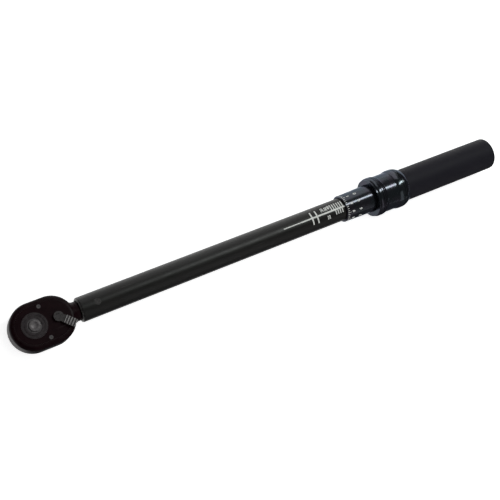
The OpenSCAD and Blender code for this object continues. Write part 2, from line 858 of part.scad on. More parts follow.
module lock_ring() {
    nose_r = 3.6;
    side_r = 12;
    flange_r = barrel_r + flange_h;
    flange_end = 6.3;
    bead_r = barrel_r + bead_h;
    bead_y = ring_len - 9.4;
    bead_len = 2.3;
    tip_r = ring_skirt_r + 0.9;
    tip_edge = 0.5;
    groove_w = 0.7;
    groove_d = 0.45;
    front_grooves = [-1.2, 0.8, 2.8];
    rear_grooves = [-0.5, 1.7];
    color("#15181b") on_axis(ring_x) rotate_extrude() difference() {
        union() {
            square([barrel_r, bead_y]);
            square([flange_r - nose_r, flange_end]);
            translate([flange_r - nose_r, nose_r]) circle(r = nose_r);
            intersection() {
                raised_band(flange_r, nose_r, flange_end - nose_r, side_r);
                translate([0, nose_r]) square([flange_r, bead_y]);
            }
            intersection() {
                raised_band(bead_r, bead_y, bead_len, side_r);
                square([bead_r, ring_len - tip_edge]);
            }
            translate([0, bead_y]) square([tip_r, ring_len - tip_edge - bead_y]);
            translate([0, bead_y]) square([tip_r - tip_edge, ring_len - bead_y]);
        }
        translate([-1, -1]) square([ring_lip_r + 1, ring_len + 2]);
        translate([0, recess_x - ring_x]) square([recess_r, recess_len]);
        translate([0, recess_x - ring_x]) square([cam_r, ring_end_x - recess_x + 1]);
        translate([0, skirt_x - ring_x]) square([ring_skirt_r, ring_end_x - skirt_x + 1]);
        translate([0, clip_x - ring_x]) square([cam_r + 0.7, clip_t]);
        for (dist = front_grooves)
            translate([side_height(flange_r, side_r, dist) - groove_d, flange_end + dist])
                square([5, groove_w]);
        for (dist = rear_grooves)
            translate([side_height(bead_r, side_r, dist) - groove_d, bead_y + bead_len + dist])
                square([5, groove_w]);
    }
}

module lock_ring_clip() {
    color("#58595b") sleeve(clip_x, clip_t, cam_r + 0.7, core_r + gap);
}

// ---- Nodes --------------------------------------------------------------

body_tube();
pivot_pin();
adjusting_nut();
nut_pins();
main_spring();
head_housing();
cover_plate();
cover_screws();
gear_washer();
drive_gear();
button_snap_ring();
release_spring();
release_button();
release_rod();
retaining_ball();
reversing_lever();
lever_shaft();
detent_ball();
detent_spring();
pawl();
tilting_block();
plunger();
spring_seat();
thrust_balls();
thimble();
thimble_screws();
grip_core();
grip_sleeve();
load_screw();
screw_lock_nut();
end_plug();
thrust_washer();
lock_balls();
spring_stop();
lock_spring();
lock_ring();
lock_ring_clip();
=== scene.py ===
"""Finishes, graduations, springs, grip sleeve and studio of a click torque wrench.

Metres, +Z up through the release button, +X along the tube to the grip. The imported
frame gives every place: the classes below read their stations from its boxes.
"""

import json
import logging
import math
from dataclasses import dataclass, field
from enum import Enum
from typing import Any, Sequence

import bmesh
import bpy
from mathutils import Matrix, Vector

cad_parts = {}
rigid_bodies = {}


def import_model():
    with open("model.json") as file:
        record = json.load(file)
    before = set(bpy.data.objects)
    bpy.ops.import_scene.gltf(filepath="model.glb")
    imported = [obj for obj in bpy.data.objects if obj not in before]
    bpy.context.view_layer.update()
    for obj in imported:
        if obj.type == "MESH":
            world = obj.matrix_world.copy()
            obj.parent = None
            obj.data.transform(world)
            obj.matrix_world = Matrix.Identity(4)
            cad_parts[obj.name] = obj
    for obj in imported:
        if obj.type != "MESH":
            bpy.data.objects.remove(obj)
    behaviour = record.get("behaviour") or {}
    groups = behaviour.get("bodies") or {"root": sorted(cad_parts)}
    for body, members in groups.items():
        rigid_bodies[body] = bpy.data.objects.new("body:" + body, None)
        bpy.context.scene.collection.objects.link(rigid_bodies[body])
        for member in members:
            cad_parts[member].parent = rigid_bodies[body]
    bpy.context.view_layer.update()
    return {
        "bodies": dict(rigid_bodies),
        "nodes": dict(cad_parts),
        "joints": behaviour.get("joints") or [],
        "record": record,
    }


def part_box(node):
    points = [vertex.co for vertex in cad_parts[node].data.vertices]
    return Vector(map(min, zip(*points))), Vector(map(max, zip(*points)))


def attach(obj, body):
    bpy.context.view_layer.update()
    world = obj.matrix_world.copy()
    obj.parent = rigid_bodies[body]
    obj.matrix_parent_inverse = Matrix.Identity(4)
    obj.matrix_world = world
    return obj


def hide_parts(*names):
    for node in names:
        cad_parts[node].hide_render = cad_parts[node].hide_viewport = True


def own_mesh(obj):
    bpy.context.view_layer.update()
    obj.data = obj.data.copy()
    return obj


LOG = logging.getLogger("torque_wrench")
MM = 0.001
Colour = tuple[float, float, float]
Point = tuple[float, float]


class Body(Enum):
    """The moving bodies that pieces ride on."""

    TUBE = "tube"
    DRIVE = "drive"
    GRIP = "grip"


class Slot(Enum):
    """The record's material slots."""

    BLACK_TUBE = "black_tube"
    BLACK_HEAD = "black_head"
    BLACK_PLATE = "black_plate"
    BLACK_GEAR = "black_gear"
    BLACK_LEVER = "black_lever"
    BUTTON_STEEL = "button_steel"
    GLOSS_BLACK = "gloss_black"
    GRIP_RUBBER = "grip_rubber"
    BRIGHT_PLUG = "bright_plug"
    DARK_STEEL = "dark_steel"
    BRIGHT_STEEL = "bright_steel"
    SPRING_STEEL = "spring_steel"


class Grain(Enum):
    """How a surface was worked: which way its fine lines run."""

    CAST = "even in every direction"
    DRAWN = "lines along the tube"
    TURNED_ON_TUBE = "rings round the tube's axis"
    TURNED_ON_DRIVE = "rings round the drive's axis"


class Measure(Enum):
    """A distance that says where a surface is rubbed bare, and on the lever where it is painted
    lighter.
    """

    FROM_TUBE_AXIS = "distance from the tube's axis"
    FROM_DRIVE_AXIS = "distance from the drive's axis"
    ALONG = "station along the tube"
    HEIGHT = "height above the square's end"


# ---- Places ---------------------------------------------------------------


@dataclass(frozen=True)
class Stations:
    """Places on the wrench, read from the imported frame's boxes."""

    axis_z: float
    tube_front: float
    tube_radius: float
    thimble_front: float
    thimble_radius: float
    ring_front: float
    ring_rear: float
    ring_radius: float
    sleeve_front: float
    sleeve_rear: float
    sleeve_radius: float
    head_top: float
    head_bottom: float
    hub_top: float

    @classmethod
    def read(cls) -> "Stations":
        """Reads the boxes of the nodes that the looks are placed by.

        Returns:
            The stations, in metres.
        """
        tube_low, tube_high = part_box("body_tube")
        thimble_low, thimble_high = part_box("thimble")
        ring_low, ring_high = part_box("lock_ring")
        sleeve_low, sleeve_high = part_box("grip_sleeve")
        head_low, head_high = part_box("head_housing")
        _, gear_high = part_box("drive_gear")
        return cls(
            axis_z=(tube_low.z + tube_high.z) / 2,
            tube_front=tube_low.x,
            tube_radius=(tube_high.z - tube_low.z) / 2,
            thimble_front=thimble_low.x,
            thimble_radius=(thimble_high.z - thimble_low.z) / 2,
            ring_front=ring_low.x,
            ring_rear=ring_high.x,
            ring_radius=(ring_high.z - ring_low.z) / 2,
            sleeve_front=sleeve_low.x,
            sleeve_rear=sleeve_high.x,
            sleeve_radius=(sleeve_high.z - sleeve_low.z) / 2,
            head_top=head_high.z,
            head_bottom=head_low.z,
            hub_top=gear_high.z,
        )


# ---- Materials ------------------------------------------------------------


@dataclass(frozen=True)
class Wear:
    """A band where a finish is rubbed through; on the lever, bands of painted highlight and a
    painted lit top.

    Attributes:
        measure: The distance that the band is given in.
        start: Where the band starts, in metres.
        full: Where it is strongest, in metres.
        colour: Colour of the bare place, and on the lever of the painted highlight.
        strength: Share of the surface that is bare, and on the lever painted lighter, at the
            strongest place.
        patch: Size of the bare and painted-light patches, in metres.
    """

    measure: Measure
    start: float
    full: float
    colour: Colour
    strength: float = 0.5
    patch: float = 1.2 * MM


@dataclass(frozen=True)
class Finish:
    """A surface finish, with everything that its nodes are built from.

    Attributes:
        name: The material's name.
        colour: Main colour.
        shade: Colour of the mottling.
        roughness: Mean roughness.
        swing: How far the roughness varies.
        metallic: 1 for bare or plated metal.
        specular: Specular level, constant over the surface.
        edge_tint: Tint of the reflection, which for plating is that near its outline.
        coat: Weight of a clear coat.
        coat_roughness: Roughness of that coat.
        sheen: Weight of a soft sheen.
        mottle: Size of the mottling, in metres.
        grain: Size of the finest grain, in metres.
        relief: Height of the grain, in metres.
        wave: Height of the slow waviness under the grain, in metres.
        direction: How the surface was worked.
        line_pitch: Pitch of the turned or drawn lines, in metres.
        line_relief: Height of those lines, in metres.
        dust: Share of pale dust and fine scratches.
        wears: Bands that are rubbed through, and on the lever bands of painted highlight.
    """

    name: str
    colour: Colour
    shade: Colour
    roughness: float
    swing: float = 0.06
    metallic: float = 0.0
    specular: float = 0.5
    edge_tint: Colour = (1.0, 1.0, 1.0)
    coat: float = 0.0
    coat_roughness: float = 0.1
    sheen: float = 0.0
    mottle: float = 7 * MM
    grain: float = 0.25 * MM
    relief: float = 0.004 * MM
    wave: float = 0.0
    direction: Grain = Grain.CAST
    line_pitch: float = 0.2 * MM
    line_relief: float = 0.0
    dust: float = 0.0
    wears: tuple[Wear, ...] = ()

    def build(self, axis_z: float) -> bpy.types.Material:
        """Builds the material's nodes.

        Args:
            axis_z: Height of the tube's axis, in metres.

        Returns:
            The material.
        """
        bench = ShaderBench(self.name, axis_z)
        mottling = bench.noise(1 / self.mottle, detail=4.0)
        blend = bench.spread(mottling, 0.35, 0.68)
        colour = bench.mix(blend, self.colour, self.shade)
        fine = bench.noise(1 / self.grain, detail=2.0, stretch=self._stretch())
        rough = bench.spread(
            bench.add(bench.product(fine, 0.45), bench.product(mottling, 0.55)),
            0.3, 0.7, self.roughness - self.swing, self.roughness + self.swing,
        )
        height = bench.product(fine, self.relief)
        if self.wave > 0.0:
            slow = bench.noise(1 / (self.grain * 7), detail=3.0)
            height = bench.add(height, bench.product(slow, self.wave))
        if self.line_relief > 0.0:
            lines = self._lines(bench)
            height = bench.add(height, bench.product(lines, self.line_relief))
            rough = bench.add(rough, bench.product(lines, 0.04))
        if self.dust > 0.0:
            scratch = bench.noise(420.0, detail=5.0, stretch=(0.05, 1.0, 1.0))
            speck = bench.noise(1500.0, detail=3.0)
            marks = bench.maximum(
                bench.spread(scratch, 0.66, 0.8), bench.spread(speck, 0.69, 0.78)
            )
            faint = bench.product(marks, self.dust)
            colour = bench.mix(faint, colour, (0.16, 0.155, 0.15))
            rough = bench.add(rough, bench.product(faint, 0.3))
        # Rubbed bands, and on the lever bands of painted highlight, mixed into the colour.
        for wear in self.wears:
            bare = bench.worn(wear)
            colour = bench.mix(bare, colour, wear.colour)
            rough = bench.add(rough, bench.product(bare, -0.06))
            height = bench.add(height, bench.product(bare, -0.006 * MM))
        bench.paint(colour, rough, height)
        bench.fix(
            {
                "Metallic": self.metallic,
                "Specular IOR Level": self.specular,
                "Coat Weight": self.coat,
                "Coat Roughness": self.coat_roughness,
                "Sheen Weight": self.sheen,
                "Specular Tint": (*self.edge_tint, 1.0),
            }
        )
        return bench.material

    def _stretch(self) -> tuple[float, float, float]:
        """Noise scale along each axis, lower along the drawn lines."""
        return (0.06, 1.0, 1.0) if self.direction is Grain.DRAWN else (1.0, 1.0, 1.0)

    def _lines(self, bench: "ShaderBench") -> bpy.types.NodeSocket:
        """Builds the fine lines that the surface's working left.

        Args:
            bench: The material's bench.

        Returns:
            A socket from 0 to 1.
        """
        if self.direction is Grain.TURNED_ON_DRIVE:
            run = bench.measure(Measure.FROM_DRIVE_AXIS)
        elif self.direction is Grain.TURNED_ON_TUBE:
            run = bench.measure(Measure.ALONG)
        else:
            return bench.noise(1 / self.line_pitch, detail=1.0, stretch=(0.02, 1.0, 1.0))
        return bench.rings(run, self.line_pitch)


class ShaderBench:
    """Lays out one material's nodes on Object coordinates."""

    def __init__(self, name: str, axis_z: float) -> None:
        """Makes the material with its shader and its output.

        Args:
            name: The material's name.
            axis_z: Height of the tube's axis, in metres.
        """
        self.material = bpy.data.materials.new(name)
        self.material.use_nodes = True
        self.axis_z = axis_z
        self.nodes = self.material.node_tree.nodes
        self.links = self.material.node_tree.links
        self.nodes.clear()
        self.shader = self.nodes.new("ShaderNodeBsdfPrincipled")
        output = self.nodes.new("ShaderNodeOutputMaterial")
        self.links.new(self.shader.outputs["BSDF"], output.inputs["Surface"])
        self.place = self.nodes.new("ShaderNodeTexCoord").outputs["Object"]
        parts = self.nodes.new("ShaderNodeSeparateXYZ")
        self.links.new(self.place, parts.inputs[0])
        self.x, self.y, self.z = parts.outputs

    def _feed(self, socket: bpy.types.NodeSocket, value: Any) -> None:
        """Links a socket to a value's socket, or sets a constant on it."""
        if isinstance(value, bpy.types.NodeSocket):
            self.links.new(value, socket)
        elif socket.type == "RGBA":
            socket.default_value = (*value, 1.0)
        else:
            socket.default_value = value

    def _math(self, operation: str, *values: Any) -> bpy.types.NodeSocket:
        """One Math node over sockets or constants."""
        node = self.nodes.new("ShaderNodeMath")
        node.operation = operation
        for socket, value in zip(node.inputs, values):
            self._feed(socket, value)
        return node.outputs[0]

    def add(self, a: Any, b: Any) -> bpy.types.NodeSocket:
        """Sum of two values."""
        return self._math("ADD", a, b)

    def product(self, a: Any, b: Any) -> bpy.types.NodeSocket:
        """Product of two values."""
        return self._math("MULTIPLY", a, b)

    def maximum(self, a: Any, b: Any) -> bpy.types.NodeSocket:
        """The larger of two values."""
        return self._math("MAXIMUM", a, b)

    def noise(
        self,
        scale: float,
        detail: float = 2.0,
        stretch: tuple[float, float, float] = (1.0, 1.0, 1.0),
    ) -> bpy.types.NodeSocket:
        """A noise pattern.

        Args:
            scale: Cells to a metre.
            detail: Octaves.
            stretch: Scale along each axis.

        Returns:
            A socket from about 0 to 1.
        """
        place = self.place
        if stretch != (1.0, 1.0, 1.0):
            mapping = self.nodes.new("ShaderNodeMapping")
            self.links.new(self.place, mapping.inputs["Vector"])
            mapping.inputs["Scale"].default_value = stretch
            place = mapping.outputs["Vector"]
        node = self.nodes.new("ShaderNodeTexNoise")
        self.links.new(place, node.inputs["Vector"])
        node.inputs["Scale"].default_value = scale
        node.inputs["Detail"].default_value = detail
        return node.outputs["Fac"]

    def spread(
        self, value: Any, low: float, high: float, out_low: float = 0.0, out_high: float = 1.0
    ) -> bpy.types.NodeSocket:
        """Maps a range to another one, smoothly and clamped.

        Args:
            value: The value to map.
            low: Start of its range.
            high: End of its range.
            out_low: What the start becomes.
            out_high: What the end becomes.

        Returns:
            The mapped value's socket.
        """
        node = self.nodes.new("ShaderNodeMapRange")
        node.interpolation_type = "SMOOTHSTEP"
        for name, number in (
            ("From Min", low), ("From Max", high), ("To Min", out_low), ("To Max", out_high)
        ):
            node.inputs[name].default_value = number
        self._feed(node.inputs["Value"], value)
        return node.outputs["Result"]

    def mix(self, share: Any, first: Any, second: Any) -> bpy.types.NodeSocket:
        """Mixes two colours.

        Args:
            share: Share of the second colour.
            first: A colour or its socket.
            second: A colour or its socket.

        Returns:
            The mixed colour's socket.
        """
        node = self.nodes.new("ShaderNodeMix")
        node.data_type = "RGBA"
        self._feed(node.inputs["Factor"], share)
        colours = [s for s in node.inputs if s.type == "RGBA"]
        self._feed(colours[0], first)
        self._feed(colours[1], second)
        return next(s for s in node.outputs if s.type == "RGBA")

    def measure(self, measure: Measure) -> bpy.types.NodeSocket:
        """Distance on the object, in metres.

        Args:
            measure: Which distance.

        Returns:
            Its socket.
        """
        if measure is Measure.ALONG:
            return self.x
        if measure is Measure.HEIGHT:
            return self.z
        if measure is Measure.FROM_DRIVE_AXIS:
            a, b = self.x, self.y
        else:
            a, b = self.y, self.add(self.z, -self.axis_z)
        return self._math("SQRT", self.add(self.product(a, a), self.product(b, b)))

    def rings(self, run: bpy.types.NodeSocket, pitch: float) -> bpy.types.NodeSocket:
        """Fine rings, uneven as a cutting tool leaves them.

        Args:
            run: The distance that the rings are counted along.
            pitch: Distance between rings, in metres.

        Returns:
            A socket from 0 to 1.
        """
        spot = self.nodes.new("ShaderNodeCombineXYZ")
        self.links.new(run, spot.inputs[0])
        node = self.nodes.new("ShaderNodeTexNoise")
        self.links.new(spot.outputs[0], node.inputs["Vector"])
        node.inputs["Scale"].default_value = 1 / pitch
        node.inputs["Detail"].default_value = 2.0
        return node.outputs["Fac"]

    def worn(self, wear: Wear) -> bpy.types.NodeSocket:
        """Where a band is rubbed bare, and on the lever where a highlight is painted.

        Args:
            wear: The band.

        Returns:
            A socket from 0 to 1.
        """
        near = self.spread(self.measure(wear.measure), wear.start, wear.full)
        patches = self.noise(1 / wear.patch, detail=4.0)
        ragged = self.spread(self.add(self.product(near, 0.3), patches), 0.55, 0.8)
        return self.product(self.product(near, ragged), wear.strength)

    def paint(self, colour: Any, roughness: Any, height: Any) -> None:
        """Connects the colour, the roughness and the relief.

        Args:
            colour: Base colour's socket.
            roughness: Roughness socket.
            height: Relief in metres.
        """
        self._feed(self.shader.inputs["Base Color"], colour)
        self._feed(self.shader.inputs["Roughness"], roughness)
        bump = self.nodes.new("ShaderNodeBump")
        bump.inputs["Distance"].default_value = 1.0
        self._feed(bump.inputs["Height"], height)
        self.links.new(bump.outputs["Normal"], self.shader.inputs["Normal"])

    def fix(self, values: dict[str, Any]) -> None:
        """Sets the shader's constants on their own sockets."""
        for name, value in values.items():
            self.shader.inputs[name].default_value = value


class FinishBook:
    """Every finish of the wrench, built once and handed out by slot."""

    def __init__(self, at: Stations) -> None:
        """Builds the materials.

        Args:
            at: The wrench's stations.
        """
        self.at = at
        self.by_slot = {slot: finish.build(at.axis_z) for slot, finish in self._list().items()}
        self.white_fill = Finish(
            name="white_fill",
            colour=(0.86, 0.87, 0.84),
            shade=(0.7, 0.71, 0.68),
            roughness=0.5,
            swing=0.1,
            mottle=1.5 * MM,
            grain=0.12 * MM,
            relief=0.003 * MM,
        ).build(at.axis_z)

    def _list(self) -> dict[Slot, Finish]:
        """The finishes by slot."""
        at = self.at
        bare_black = (0.10, 0.095, 0.09)
        bare_grey = (0.2, 0.195, 0.19)
        return {
            Slot.BLACK_TUBE: Finish(
                name="satin_black_tube",
                colour=(0.0041, 0.0037, 0.0029),
                shade=(0.0053, 0.0042, 0.0036),
                roughness=0.4,
                swing=0.05,
                specular=0.43,
                mottle=16 * MM,
                grain=0.3 * MM,
                relief=0.003 * MM,
                direction=Grain.DRAWN,
                line_pitch=0.35 * MM,
                line_relief=0.002 * MM,
                dust=0.16,
                wears=(
                    Wear(Measure.ALONG, at.tube_front + 2.2 * MM, at.tube_front,
                         bare_grey, strength=0.45),
                ),
            ),
            Slot.BLACK_HEAD: Finish(
                name="forged_black_head",
                colour=(0.0062, 0.0008, 0.0020),
                shade=(0.0086, 0.0017, 0.0030),
                roughness=0.4,
                swing=0.06,
                specular=0.09,
                mottle=5 * MM,
                grain=0.4 * MM,
                relief=0.009 * MM,
                wave=0.02 * MM,
                dust=0.09,
                wears=(
                    Wear(Measure.HEIGHT, at.head_bottom + 4.5 * MM, at.head_bottom,
                         bare_black, strength=0.35, patch=2 * MM),
                    Wear(Measure.HEIGHT, at.head_top - 0.9 * MM, at.head_top + 0.4 * MM,
                         bare_black, strength=0.06, patch=1.5 * MM),
                ),
            ),
            Slot.BLACK_PLATE: Finish(
                name="black_cover_plate",
                colour=(0.0062, 0.0008, 0.0020),
                shade=(0.0090, 0.0017, 0.0031),
                roughness=0.38,
                swing=0.07,
                specular=0.09,
                mottle=4 * MM,
                grain=0.3 * MM,
                relief=0.005 * MM,
                direction=Grain.CAST,
                dust=0.12,
            ),
            Slot.BLACK_GEAR: Finish(
                name="turned_black_gear",
                colour=(0.033, 0.027, 0.029),
                shade=(0.052, 0.043, 0.046),
                roughness=0.4,
                swing=0.08,
                metallic=0.75,
                mottle=2.5 * MM,
                grain=0.25 * MM,
                relief=0.003 * MM,
                direction=Grain.TURNED_ON_DRIVE,
                line_pitch=0.28 * MM,
                line_relief=0.006 * MM,
                dust=0.2,
                wears=(
                    Wear(Measure.HEIGHT, 2.6 * MM, -0.6 * MM, bare_grey,
                         strength=0.7, patch=1.6 * MM),
                ),
            ),
            Slot.BLACK_LEVER: Finish(
                name="rubbed_black_lever_with_painted_highlights",
                colour=(0.007, 0.0048, 0.0055),
                shade=(0.016, 0.0120, 0.0130),
                roughness=0.36,
                swing=0.08,
                metallic=0.3,
                specular=0.3,
                mottle=2.4 * MM,
                grain=0.3 * MM,
                relief=0.006 * MM,
                dust=0.25,
                wears=(
                    # Pale top ridges: partly rubbed metal, partly a painted highlight.
                    Wear(Measure.HEIGHT, at.hub_top + 3.3 * MM, at.hub_top + 3.7 * MM,
                         (0.42, 0.40, 0.40), strength=0.85, patch=0.9 * MM),
                    # Painted light: everything of the lever above this height is drawn lighter, as
                    # if lit from above.
                    Wear(Measure.HEIGHT, at.hub_top + 1.9 * MM, at.hub_top + 2.2 * MM,
                         (0.15, 0.14, 0.14), strength=0.3, patch=1.3 * MM),
                ),
            ),
            Slot.BUTTON_STEEL: Finish(
                name="turned_button_steel",
                colour=(0.115, 0.104, 0.107),
                shade=(0.175, 0.160, 0.164),
                roughness=0.42,
                swing=0.08,
                metallic=0.65,
                mottle=1.6 * MM,
                grain=0.2 * MM,
                relief=0.003 * MM,
                direction=Grain.TURNED_ON_DRIVE,
                line_pitch=0.22 * MM,
                line_relief=0.008 * MM,
                dust=0.25,
            ),
            Slot.GLOSS_BLACK: Finish(
                name="gloss_black_plating",
                colour=(0.057, 0.068, 0.076),
                shade=(0.071, 0.066, 0.083),
                roughness=0.15,
                swing=0.03,
                metallic=0.92,
                edge_tint=(0.5, 0.54, 0.6),
                mottle=12 * MM,
                grain=0.4 * MM,
                relief=0.0012 * MM,
                direction=Grain.TURNED_ON_TUBE,
                line_pitch=0.5 * MM,
                line_relief=0.0012 * MM,
                dust=0.1,
                wears=(
                    Wear(Measure.FROM_TUBE_AXIS, at.ring_radius - 0.35 * MM,
                         at.ring_radius + 0.25 * MM, (0.16, 0.17, 0.17),
                         strength=0.4, patch=2.2 * MM),
                ),
            ),
            Slot.GRIP_RUBBER: Finish(
                name="charcoal_grip",
                colour=(0.0095, 0.0087, 0.0138),
                shade=(0.0118, 0.0108, 0.0163),
                roughness=0.62,
                swing=0.06,
                specular=0.22,
                mottle=14 * MM,
                grain=0.22 * MM,
                relief=0.012 * MM,
                wave=0.006 * MM,
                dust=0.1,
            ),
            Slot.BRIGHT_PLUG: Finish(
                name="turned_pale_plug",
                colour=(0.62, 0.61, 0.65),
                shade=(0.5, 0.49, 0.53),
                roughness=0.34,
                metallic=0.85,
                mottle=3 * MM,
                direction=Grain.TURNED_ON_TUBE,
                line_pitch=0.25 * MM,
                line_relief=0.004 * MM,
            ),
            Slot.DARK_STEEL: Finish(
                name="black_oxide_steel",
                colour=(0.03, 0.028, 0.028),
                shade=(0.05, 0.046, 0.046),
                roughness=0.4,
                metallic=0.7,
                mottle=2 * MM,
                dust=0.2,
                wears=(
                    Wear(Measure.HEIGHT, at.head_top + 1.0 * MM, at.head_top + 0.5 * MM,
                         (0.14, 0.128, 0.132), strength=0.85, patch=0.9 * MM),
                ),
            ),
            Slot.BRIGHT_STEEL: Finish(
                name="ground_steel",
                colour=(0.5, 0.5, 0.51),
                shade=(0.36, 0.36, 0.37),
                roughness=0.28,
                metallic=1.0,
                mottle=3 * MM,
                direction=Grain.TURNED_ON_TUBE,
                line_pitch=0.3 * MM,
                line_relief=0.003 * MM,
            ),
            Slot.SPRING_STEEL: Finish(
                name="tempered_spring_steel",
                colour=(0.25, 0.255, 0.265),
                shade=(0.16, 0.15, 0.15),
                roughness=0.3,
                metallic=1.0,
                mottle=4 * MM,
            ),
        }

    def of(self, slot: Slot) -> bpy.types.Material:
        """The material of a slot."""
        return self.by_slot[slot]

    def dress_frame(self, frame: dict[str, Any]) -> None:
        """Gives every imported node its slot's material.
        """
        for row in frame["record"]["subparts"]:
            node = frame["nodes"][row["node"]]
            material = self.of(Slot(row["material_slot"]))
            if not node.material_slots:
                node.data.materials.append(material)
            for slot in node.material_slots:
                slot.material = material


# ---- Meshes ---------------------------------------------------------------


def new_object(name: str, mesh: bpy.types.Mesh) -> bpy.types.Object:
    """Links a mesh to the scene as an object."""
    thing = bpy.data.objects.new(name, mesh)
    bpy.context.scene.collection.objects.link(thing)
    return thing


def object_of(
    name: str, shape: bmesh.types.BMesh, material: bpy.types.Material
) -> bpy.types.Object:
    """Turns an edited mesh into an object with one material, and frees it.

    Args:
        name: The object's name.
        shape: The edited mesh.
        material: Its material.

    Returns:
        The object.
    """
    mesh = bpy.data.meshes.new(name)
    shape.to_mesh(mesh)
    shape.free()
    mesh.materials.append(material)
    return new_object(name, mesh)


def smooth(mesh: bpy.types.Mesh, sharp_degrees: float = 32.0) -> None:
    """Shades a mesh smooth, with edges sharper than the angle kept crisp."""
    mesh.polygons.foreach_set("use_smooth", [True] * len(mesh.polygons))
    mesh.set_sharp_from_angle(angle=math.radians(sharp_degrees))


def arc(centre: Point, radius: float, start: float, end: float, count: int) -> list[Point]:
    """Points on an arc in a lathe profile.

    Args:
        centre: The arc's centre, as station and radius.
        radius: The arc's radius.
        start: First angle in degrees, 0 along the axis and 90 away from it.
        end: Last angle in degrees.
        count: Number of steps.

    Returns:
        The points, both ends included.
    """
    angles = (math.radians(start + (end - start) * i / count) for i in range(count + 1))
    return [(centre[0] + radius * math.cos(a), centre[1] + radius * math.sin(a)) for a in angles]


def lathe(name: str, profile: Sequence[Point], axis_z: float, segments: int) -> bpy.types.Mesh:
    """Turns a closed profile round the tube's axis.

    Args:
        name: The mesh's name.
        profile: Station and radius of each point, a closed loop off the axis.
        axis_z: Height of the tube's axis.
        segments: Number of steps round.

    Returns:
        A closed ring-shaped mesh.
    """
    mesh = bpy.data.meshes.new(name)
    shape = bmesh.new()
    rows = []
    for i in range(segments):
        turn = 2 * math.pi * i / segments
        rows.append([
            shape.verts.new((x, r * math.sin(turn), axis_z + r * math.cos(turn)))
            for x, r in profile
        ])
    count = len(profile)
    for i in range(segments):
        here, there = rows[i], rows[(i + 1) % segments]
        for k in range(count):
            n = (k + 1) % count
            shape.faces.new((here[k], here[n], there[n], there[k]))
    bmesh.ops.recalc_face_normals(shape, faces=shape.faces)
    shape.to_mesh(mesh)
    shape.free()
    smooth(mesh)
    return mesh


@dataclass(frozen=True)
class Cone:
    """A slightly conical surface round the tube's axis, which marks are wrapped on.

    Attributes:
        axis_z: Height of the axis.
        start: Station where the surface starts.
        end: Station where it ends.
        start_radius: Radius at the start.
        end_radius: Radius at the end.
    """

    axis_z: float
    start: float
    end: float
    start_radius: float
    end_radius: float

    def radius(self, x: float) -> float:
        """Radius at a station."""
        share = (x - self.start) / (self.end - self.start)
        return self.start_radius + share * (self.end_radius - self.start_radius)

    def wrap(self, x: float, along: float, lift: float) -> Vector:
        """Puts a flat point on the surface.

        Args:
            x: Station.
            along: Arc length from the top, positive towards +Y.
            lift: Height above the surface.

        Returns:
            The point.
        """
        base = self.radius(x)
        turn = along / base
        reach = base + lift
        return Vector((x, reach * math.sin(turn), self.axis_z + reach * math.cos(turn)))


@dataclass(frozen=True)
class Numeral:
    """A number on the scale.

    Attributes:
        text: Its digits.
        x: Station of its middle.
        turn: Angle of its middle from the top, in degrees.
        size: Height of its digits, along the tube.
    """

    text: str
    x: float
    turn: float
    size: float


class MarkMaker:
    """Makes graduations as thin slabs wrapped on a cone.

    PROUD and SUNK are a slab's reach above and below the surface, and STEP its longest
    flat stretch. DIGIT_SHARE is a digit's height in its font's size, and BOLDNESS its
    outline's growth. HALF_DEPTH only keeps the two faces of a flat digit apart.
    """

    PROUD = 0.035 * MM
    SUNK = 0.06 * MM
    STEP = 0.5 * MM
    DIGIT_SHARE = 0.72
    BOLDNESS = 0.05
    HALF_DEPTH = 1.0

    def __init__(self, surface: Cone) -> None:
        """Keeps the surface that the marks are wrapped on."""
        self.surface = surface

    def bar(self, shape: bmesh.types.BMesh, x: Point, along: Point) -> None:
        """Adds a bar to a mesh.

        Args:
            shape: The mesh to add to.
            x: First and last station.
            along: First and last arc length from the top.
        """
        steps = max(1, math.ceil((along[1] - along[0]) / self.STEP))
        rows = []
        for i in range(steps + 1):
            a = along[0] + (along[1] - along[0]) * i / steps
            rows.append([
                shape.verts.new(self.surface.wrap(station, a, lift))
                for station, lift in (
                    (x[0], self.PROUD), (x[1], self.PROUD), (x[1], -self.SUNK), (x[0], -self.SUNK)
                )
            ])
        for here, there in zip(rows, rows[1:]):
            for k in range(4):
                n = (k + 1) % 4
                shape.faces.new((here[k], here[n], there[n], there[k]))
        shape.faces.new(rows[0])
        shape.faces.new(rows[-1])

    def numeral(self, shape: bmesh.types.BMesh, mark: Numeral) -> None:
        """Adds a number, with its digits' tops towards the head.

        Args:
            shape: The mesh to add to.
            mark: The number.
        """
        curve = bpy.data.curves.new("digits", "FONT")
        curve.body = mark.text
        curve.size = mark.size / self.DIGIT_SHARE
        curve.align_x = "CENTER"
        curve.resolution_u = 3
        curve.offset = self.BOLDNESS * mark.size
        curve.extrude = self.HALF_DEPTH
        holder = new_object("digits", curve)
        graph = bpy.context.evaluated_depsgraph_get()
        flat = bpy.data.meshes.new_from_object(holder.evaluated_get(graph))
        bpy.data.objects.remove(holder)
        bpy.data.curves.remove(curve)
        part = bmesh.new()
        part.from_mesh(flat)
        bpy.data.meshes.remove(flat)
        bmesh.ops.remove_doubles(part, verts=part.verts, dist=1e-7)
        long_edges = [e for e in part.edges if e.calc_length() > self.STEP
                      and abs(e.verts[0].co.z - e.verts[1].co.z) < self.HALF_DEPTH]
        bmesh.ops.subdivide_edges(part, edges=long_edges, cuts=1)
        middle = self.surface.radius(mark.x) * math.radians(mark.turn)
        copies = {}
        for vert in part.verts:
            lift = self.PROUD if vert.co.z > 0 else -self.SUNK
            x = mark.x + mark.size / 2 - vert.co.y
            copies[vert] = shape.verts.new(self.surface.wrap(x, middle + vert.co.x, lift))
        for face in part.faces:
            shape.faces.new([copies[v] for v in face.verts])
        part.free()


# ---- Geometry Nodes -------------------------------------------------------


